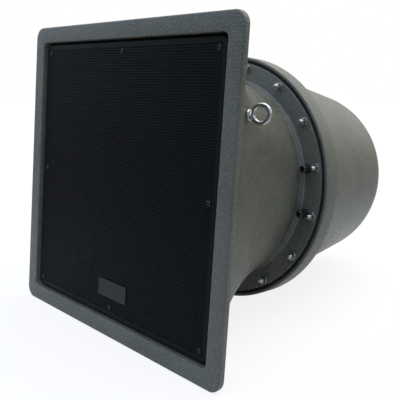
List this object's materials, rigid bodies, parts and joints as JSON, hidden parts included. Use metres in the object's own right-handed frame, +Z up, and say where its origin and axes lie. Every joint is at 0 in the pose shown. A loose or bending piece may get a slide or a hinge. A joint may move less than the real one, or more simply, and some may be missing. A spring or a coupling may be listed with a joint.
{
  "type": "outdoor horn speaker",
  "caption": "Weatherproof outdoor horn speaker: square grilled mouth, flare blending into a round flange, and a domed rear housing bolted on with studs; eyebolts on the flanks.",
  "frame": {"origin": "centre of the bounding box, at its lowest face", "axes": "+Y runs from the mouth to the rear along the horn axis, +Z is up with the badge plate at the bottom, +X is the flank with the cable glands"},
  "size_m": [0.45, 0.556, 0.45],
  "materials": {
    "fibreglass": "satin",
    "grille_black": "satin",
    "foam_black": "matte",
    "zinc_steel": "satin",
    "badge_grey": "satin",
    "wadding_white": "matte",
    "black_rubber": "matte",
    "baffle_wood": "matte",
    "black_nylon": "satin",
    "frame_alloy": "satin",
    "plate_steel": "satin",
    "driver_steel": "satin",
    "ferrite": "matte",
    "cone_paper": "matte",
    "copper_wire": "satin",
    "spider_cloth": "matte",
    "horn_plastic": "satin",
    "board_laminate": "satin",
    "capacitor_film": "gloss"
  },
  "bodies": {
    "cabinet": {"mouth_frame": "fibreglass", "horn_shell": "fibreglass", "horn_throat": "fibreglass", "horn_flange": "fibreglass", "grille_panel": "grille_black", "grille_foam": "foam_black", "grille_screws": "zinc_steel", "badge_plate": "badge_grey", "rear_housing": "fibreglass", "housing_wadding": "wadding_white", "housing_studs": "zinc_steel", "stud_washers": "zinc_steel", "stud_nuts": "zinc_steel", "flange_gasket": "black_rubber", "baffle": "baffle_wood", "gland_bodies": "black_nylon", "gland_caps": "black_nylon", "gland_seals": "black_rubber", "eyebolt_right": "zinc_steel", "eyebolt_left": "zinc_steel", "eyebolt_washers": "zinc_steel", "eyebolt_nuts": "zinc_steel", "woofer_gasket": "black_rubber", "woofer_frame": "frame_alloy", "woofer_screws": "zinc_steel", "woofer_top_plate": "plate_steel", "woofer_magnet": "ferrite", "woofer_pole_plate": "plate_steel", "woofer_surround": "black_rubber", "woofer_spider": "spider_cloth", "driver_bridge": "plate_steel", "bridge_screws": "zinc_steel", "hf_driver": "driver_steel", "hf_driver_screws": "zinc_steel", "hf_horn": "horn_plastic", "hf_horn_screws": "zinc_steel", "crossover_board": "board_laminate", "crossover_screws": "zinc_steel", "crossover_chokes": "copper_wire", "crossover_capacitors": "capacitor_film"},
    "cone": {"woofer_cone": "cone_paper", "dust_cap": "cone_paper", "voice_coil": "copper_wire"}
  },
  "joints": [
    {"name": "cone_slide", "type": "slide", "parent": "cabinet", "child": "cone", "axis": [0, 1, 0], "range_m": [-0.005, 0.005], "stiffness_N_per_m": 1200, "deforming": ["woofer_surround", "woofer_spider"]}
  ]
}
